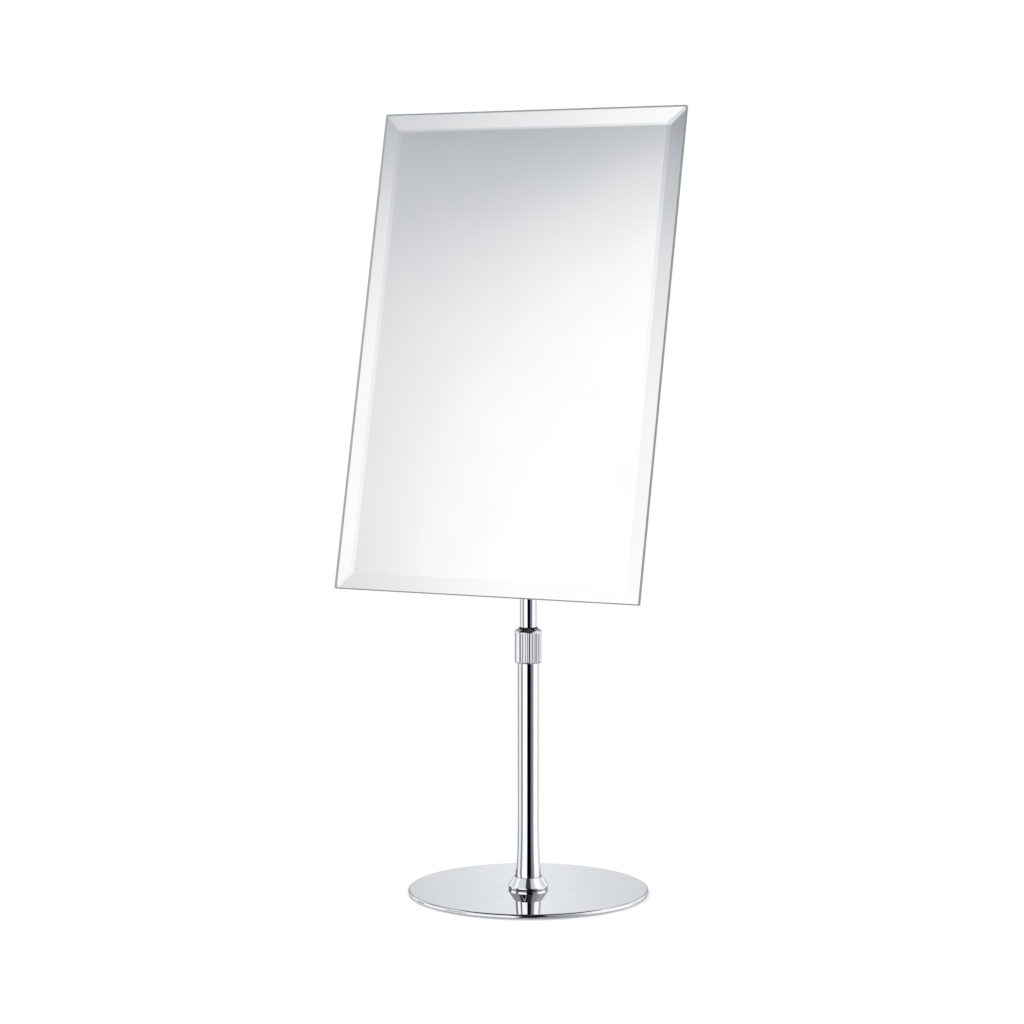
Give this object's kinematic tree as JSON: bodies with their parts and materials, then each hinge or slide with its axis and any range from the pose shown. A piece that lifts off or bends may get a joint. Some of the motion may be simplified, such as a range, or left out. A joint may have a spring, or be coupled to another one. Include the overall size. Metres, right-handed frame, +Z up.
{
  "type": "table mirror",
  "caption": "Table mirror: bevelled rectangular glass on a tilting hinge, telescopic chrome column with a knurled clamp nut, round weighted base.",
  "frame": {"origin": "centre of the base's resting face, on the table under the column's axis", "axes": "+Z up the column; the glass faces -Y; +X to the right as seen from the front"},
  "size_m": [0.205, 0.15, 0.4845],
  "materials": {
    "chromed_steel": "polished chrome plating on steel",
    "chromed_brass": "polished chrome plating on brass",
    "chromed_zinc": "polished chrome plating on cast zinc",
    "turned_brass": "turned, bare",
    "zinc_plated_steel": "zinc plated",
    "black_panel": "powder coated, satin black",
    "acetal": "natural acetal, turned",
    "black_rubber": "matt",
    "foam_pad": "fine closed-cell foam",
    "foam_tape": "closed-cell foam, adhesive both sides",
    "silver_paint": "silvered, with grey protective paint behind",
    "float_glass": "polished, with a ground bevel"
  },
  "bodies": {
    "base": {"base_pad": "foam_pad", "base_plate": "chromed_steel", "base_screw": "zinc_plated_steel", "foot_collar": "chromed_brass", "foot_plug": "turned_brass", "outer_tube": "chromed_brass", "stop_buffer": "black_rubber", "tube_ferrule": "turned_brass", "collet": "acetal"},
    "slider": {"guide_bush": "acetal"},
    "mast": {"inner_tube": "chromed_brass", "tube_end_plug": "turned_brass", "yoke": "chromed_zinc", "yoke_grub_screw": "zinc_plated_steel", "pivot_bolt": "chromed_steel", "friction_washers": "acetal", "pivot_washer": "chromed_steel", "spring_washer": "zinc_plated_steel", "cap_nut": "chromed_brass"},
    "head": {"pivot_sleeve": "acetal", "hinge_bracket": "chromed_zinc", "bracket_screws": "chromed_steel", "tapping_plate": "zinc_plated_steel", "back_panel": "black_panel", "tape_strips": "foam_tape", "mirror_backing": "silver_paint", "mirror_glass": "float_glass"},
    "thrust": {"thrust_washer": "turned_brass"},
    "nut": {"clamp_nut": "chromed_brass", "wiper_ring": "black_rubber"}
  },
  "joints": [
    {"name": "height_slide", "type": "slide", "parent": "base", "child": "slider", "axis": [0, 0, 1], "range_m": [0, 0.1]},
    {"name": "mast_swivel", "type": "hinge", "parent": "slider", "child": "mast", "pos_m": [0, 0, 0.3318], "axis": [0, 0, 1], "continuous": true},
    {"name": "mirror_tilt", "type": "hinge", "parent": "mast", "child": "head", "pos_m": [0, 0, 0.3318], "axis": [-1, 0, 0], "range_deg": [-18, 62]},
    {"name": "nut_lift", "type": "slide", "parent": "base", "child": "thrust", "axis": [0, 0, 1], "range_m": [0, 0.00101]},
    {"name": "nut_turn", "type": "hinge", "parent": "thrust", "child": "nut", "pos_m": [0, 0, 0.155], "axis": [0, 0, 1], "range_deg": [0, 360]}
  ],
  "couplings": [
    {"joint": "nut_lift", "follows": "nut_turn", "m_per_rad": 0.00015915}
  ]
}
